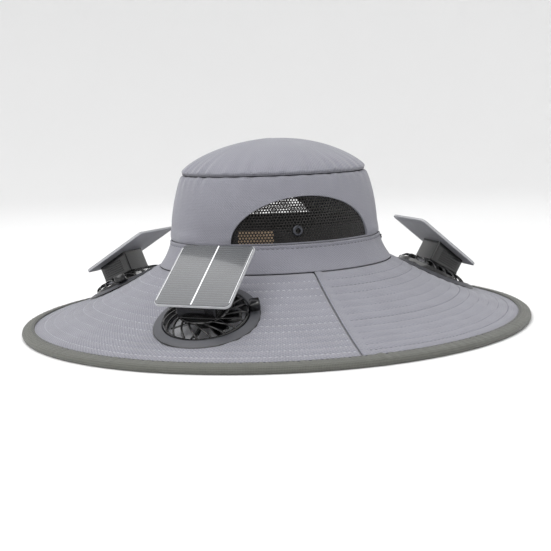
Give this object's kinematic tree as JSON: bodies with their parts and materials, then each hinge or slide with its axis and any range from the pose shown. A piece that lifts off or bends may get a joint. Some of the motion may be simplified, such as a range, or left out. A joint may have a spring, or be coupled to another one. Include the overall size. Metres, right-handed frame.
{
  "type": "sun hat with solar fans",
  "caption": "Wide-brimmed grey cloth sun hat with a domed crown, net side vents and caged fans in the brim, each under a small tilted solar panel.",
  "frame": {"origin": "centre of the hat's ground plan, on the plane it rests on", "axes": "the hat faces -Y, its back is +Y, its vents are at +X and -X, the crown points up +Z"},
  "size_m": [0.4182, 0.4412, 0.1568],
  "materials": {
    "grey_cloth": "woven, matte",
    "binding_tape": "ribbed tape, matte",
    "vent_net": "fine net",
    "sweatband_cloth": "matte",
    "gloss_plastic": "moulded, glossy",
    "soft_flange": "soft, satin",
    "eyelet_metal": "black, satin",
    "solar_cells": "dark cells under clear resin"
  },
  "bodies": {
    "hat": {"crown_side": "grey_cloth", "crown_top": "grey_cloth", "hat_band": "grey_cloth", "sweatband": "sweatband_cloth", "brim_front": "grey_cloth", "brim_back": "grey_cloth", "brim_binding": "binding_tape", "back_toggle": "gloss_plastic", "left_vent_net": "vent_net", "left_vent_eyelet": "eyelet_metal", "right_vent_net": "vent_net", "right_vent_eyelet": "eyelet_metal", "left_fan_flange": "soft_flange", "left_fan_clamp": "gloss_plastic", "left_fan_cage": "gloss_plastic", "left_fan_housing": "gloss_plastic", "left_fan_port": "gloss_plastic", "left_solar_panel": "solar_cells", "right_fan_flange": "soft_flange", "right_fan_clamp": "gloss_plastic", "right_fan_cage": "gloss_plastic", "right_fan_housing": "gloss_plastic", "right_fan_port": "gloss_plastic", "right_solar_panel": "solar_cells", "back_fan_flange": "soft_flange", "back_fan_clamp": "gloss_plastic", "back_fan_cage": "gloss_plastic", "back_fan_housing": "gloss_plastic", "back_fan_port": "gloss_plastic", "back_solar_panel": "solar_cells"},
    "left_impeller": {"left_fan_impeller": "gloss_plastic"},
    "right_impeller": {"right_fan_impeller": "gloss_plastic"},
    "back_impeller": {"back_fan_impeller": "gloss_plastic"}
  },
  "joints": [
    {"name": "left_impeller_spin", "type": "hinge", "parent": "hat", "child": "left_impeller", "pos_m": [0.10814, -0.09536, 0.02549], "axis": [0.3101, -0.2299, 0.9225], "continuous": true},
    {"name": "right_impeller_spin", "type": "hinge", "parent": "hat", "child": "right_impeller", "pos_m": [-0.0949, -0.11082, 0.02549], "axis": [-0.2759, -0.271, 0.9222], "continuous": true},
    {"name": "back_impeller_spin", "type": "hinge", "parent": "hat", "child": "back_impeller", "pos_m": [0, 0.15152, 0.02549], "axis": [0, 0.513, 0.8584], "continuous": true}
  ]
}
